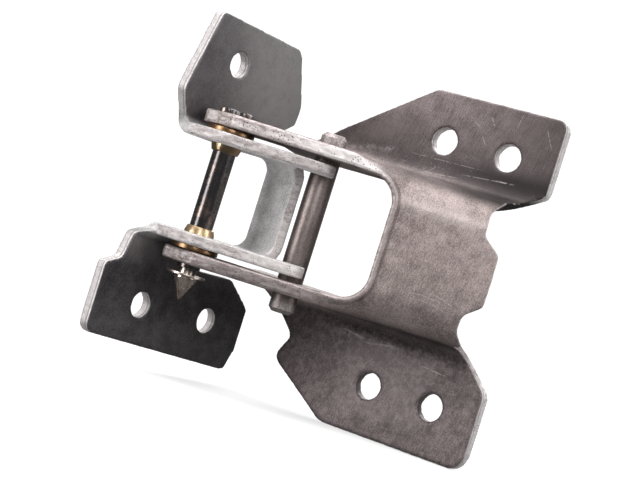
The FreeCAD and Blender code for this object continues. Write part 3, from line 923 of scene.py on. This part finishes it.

# %% [markdown]
# ## Finishes of the turned pieces
#
# A lathe leaves fine level lines, so the relief of the pins and bushes is a noise that is
# long round the axis and very short along it. The hinge pin is dark and polished, and its
# point below the ring is bright bare steel, painted lighter still as a painted reflection.

# %% Dark polished pin
LATHE_LINES = (40 * MM, 40 * MM, 0.12 * MM)
dark_pin = Finish("dark_pin_polished")
height = dark_pin.mm_along(UPWARDS)
point = 1 - height.step(-36.0, -33.0)
cloud = dark_pin.noise(5 * MM, detail=4.0, rough=0.6)
turning = dark_pin.drawn_out(LATHE_LINES, detail=2.0, rough=0.55)
tint = dark_pin.blend(cloud.step(0.45, 0.75), (0.095, 0.088, 0.090), (0.250, 0.190, 0.160))
# The point is bare bright steel, lightened further as a painted reflection.
point_tint_and_reflection = dark_pin.blend(cloud.step(0.3, 0.7), (0.34, 0.23, 0.17), (0.90, 0.79, 0.72))
tint = dark_pin.blend(point, tint, point_tint_and_reflection)
pin_rough = 0.20 + cloud * 0.14 - point * 0.02
pin_finish = dark_pin.surface(tint, pin_rough, 0.95, dark_pin.relief(turning, 0.010 * MM))

# %% [markdown]
# The bushes are golden, and their outer flanges are painted a darker brown as painted shade between the
# arms.

# %% Golden bushes
OUTER_FLANGE = (23.2, 24.0)
bronze = Finish("bush_bronze")
shaded_collar = bronze.mm_along(UPWARDS).absolute().step(*OUTER_FLANGE)
cloud = mottle(bronze, 8 * MM, 3 * MM, 0.5 * MM)
turning = bronze.drawn_out(LATHE_LINES, detail=2.0, rough=0.55)
tint = bronze.blend(cloud.step(0.32, 0.70), (0.31, 0.20, 0.115), (0.62, 0.485, 0.31))
# Painted shade on the outer flanges, between the arms.
tint = bronze.blend(shaded_collar * 0.85, tint, (0.19, 0.100, 0.050))
bush_finish = bronze.surface(tint, 0.22 + cloud * 0.16, 1.0, bronze.relief(turning, 0.015 * MM))

# %% [markdown]
# The ring is bright, with a warm mottle.

# %% Bright ring
bright = Finish("ring_bright")
cloud = mottle(bright, 8 * MM, 3 * MM, 0.5 * MM)
tint = bright.blend(cloud.step(0.35, 0.68), (0.40, 0.32, 0.27), (0.68, 0.63, 0.60))
ring_finish = bright.surface(tint, 0.24 + cloud * 0.16, 1.0, bright.relief(cloud, 0.02 * MM))

# %% [markdown]
# The stop pin is satin brown-grey between two paler heads.

# %% Stop pin
stop = Finish("stop_pin_satin")
height = stop.mm_along(UPWARDS)
heads = height.step(30.5, 32.0).most(1 - height.step(-36.0, -34.0))
tone = mottle(stop, 12 * MM, 4 * MM, 0.7 * MM)
turning = stop.drawn_out(LATHE_LINES, detail=2.0, rough=0.55)
pitted = pits(stop, 0.9 * MM)
tint = stop.blend(tone.step(0.36, 0.66), (0.155, 0.126, 0.118), (0.270, 0.231, 0.219))
head_tint = stop.blend(tone.step(0.4, 0.62), (0.26, 0.225, 0.22), (0.52, 0.48, 0.475))
tint = stop.blend(heads * 0.85, tint, head_tint)
tint = stop.blend(pitted * 0.4, tint, (0.05, 0.04, 0.04))
stop_rough = 0.36 + tone * 0.18 + heads * 0.12
stop_relief = stop.relief(turning * 0.4 + tone - pitted * 0.6, 0.04 * MM)
stop_finish = stop.surface(tint, stop_rough, 0.9, stop_relief)

# %% [markdown]
# ## Joining the pieces to the moving frame
#
# Each piece rides on the body that carries its CAD node, takes that node's place while
# the node is hidden, and gets its finish as its one material.

# %% Ride, hide the CAD node and finish
def dress(piece, node_name, body, finish):
    """Give a piece its finish, let it ride on a body, and hide the CAD node it stands in for."""
    piece.data.materials.clear()
    piece.data.materials.append(finish)
    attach(piece, body)
    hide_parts(node_name)


dress(pillar_plate, "pillar_strap", "pillar_half", pillar_finish)
dress(door_plate, "door_strap", "door_half", door_finish)
dress(swing_pin, "hinge_pin", "pillar_half", pin_finish)
dress(upper_bush, "upper_bushing", "door_half", bush_finish)
dress(lower_bush, "lower_bushing", "door_half", bush_finish)
dress(spring_ring, "pin_retaining_ring", "pillar_half", ring_finish)
dress(limit_pin, "stop_pin", "pillar_half", stop_finish)
print("all pieces ride on the frame")

# %% [markdown]
# ## Floor
#
# The hinge stands on a plain pale floor that fades into the white background. The floor is
# hidden from glossy rays, so the steel doesn't mirror it.

# %% The floor
FLOOR_RADIUS, FLOOR_GAP = 3.0, 0.05 * MM
FADE_START, FADE_END = 0.05, 0.40
WHITE, BACKGROUND_STRENGTH = (1, 1, 1, 1), 1.1
lowest = min(corner[2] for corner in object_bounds())
bpy.ops.mesh.primitive_circle_add(vertices=96, radius=FLOOR_RADIUS, fill_type="NGON",
                                  location=(0, 0, lowest - FLOOR_GAP))
floor = bpy.context.active_object
floor.name = "floor"
pale = Finish("floor_pale")
fade = Signal(pale, pale.vector_math("LENGTH", pale.place).outputs["Value"])
fade = fade.step(FADE_START, FADE_END)
matt = pale.node("ShaderNodeBsdfDiffuse", None, {"Color": (0.9, 0.9, 0.9, 1.0)})
glow = pale.node("ShaderNodeEmission", None, {"Color": WHITE, "Strength": BACKGROUND_STRENGTH})
either = pale.node("ShaderNodeMixShader", None,
                   {0: 0.55 + fade * 0.45, 1: matt.outputs["BSDF"], 2: glow.outputs["Emission"]})
pale.node("ShaderNodeOutputMaterial", None, {"Surface": either.outputs["Shader"]})
floor.data.materials.append(pale.material)
floor.visible_glossy = False
floor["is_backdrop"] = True
print("floor at z in mm:", round((lowest - FLOOR_GAP) / MM, 2))

# %% [markdown]
# ## Surrounding light
#
# The camera sees a white background. The light that falls on the hinge from all round is
# grey instead, and darker low down, because the steel shows what is round it.

# %% The surrounding light
SKY_FROM, SKY_TO = -0.25, 0.9
SKY_DIM, SKY_BRIGHT = 0.10, 0.70
world = bpy.data.worlds.new("studio")
bpy.context.scene.world = world
sky = Tree(world)
direction = sky.node("ShaderNodeTexCoord").outputs["Generated"]
upward = sky.node("ShaderNodeSeparateXYZ", None, {0: direction}).outputs["Z"]
ramp = sky.node("ShaderNodeMapRange", None,
                {"Value": upward, "From Min": SKY_FROM, "From Max": SKY_TO,
                 "To Min": SKY_DIM, "To Max": SKY_BRIGHT})
lit = sky.node("ShaderNodeBackground", None, {"Strength": ramp.outputs["Result"]})
seen = sky.node("ShaderNodeBackground", None, {"Color": WHITE, "Strength": BACKGROUND_STRENGTH})
camera_ray = sky.node("ShaderNodeLightPath").outputs["Is Camera Ray"]
either = sky.node("ShaderNodeMixShader", None,
                  {0: camera_ray, 1: lit.outputs["Background"], 2: seen.outputs["Background"]})
sky.node("ShaderNodeOutputWorld", None, {"Surface": either.outputs["Shader"]})
print("sky strength from", SKY_DIM, "to", SKY_BRIGHT)

# %% [markdown]
# ## Soft boxes
#
# Five large area lights stand round the hinge, placed in the picture's own directions in
# metres: to the right, above, and nearer to the camera.

# %% Soft boxes
LIT_POINT = PIN + across * 45 * MM


def soft_box(name, right, above, near, size, power):
    """A rectangular area light that faces the hinge."""
    place = LIT_POINT + image_right * right + image_up * above - ahead * near
    light = bpy.data.objects.new(name, bpy.data.lights.new(name, "AREA"))
    bpy.context.scene.collection.objects.link(light)
    light.data.shape = "RECTANGLE"
    light.data.size, light.data.size_y = size
    light.data.energy = power
    light.location = place
    light.rotation_euler = (LIT_POINT - place).to_track_quat("-Z", "Y").to_euler()
    print(name, "gives", power, "W")


soft_box("top_box", right=0.0, above=0.75, near=0.15, size=(0.9, 0.5), power=9.0)
soft_box("left_box", right=-0.8, above=0.25, near=0.5, size=(0.32, 0.8), power=8.0)
soft_box("right_box", right=0.8, above=0.1, near=0.3, size=(0.4, 0.9), power=4.5)
soft_box("front_box", right=0.2, above=0.3, near=1.0, size=(0.35, 0.5), power=4.0)
soft_box("back_box", right=0.35, above=0.5, near=-0.9, size=(0.8, 0.7), power=7.0)
bpy.context.scene.view_settings.view_transform = "Standard"
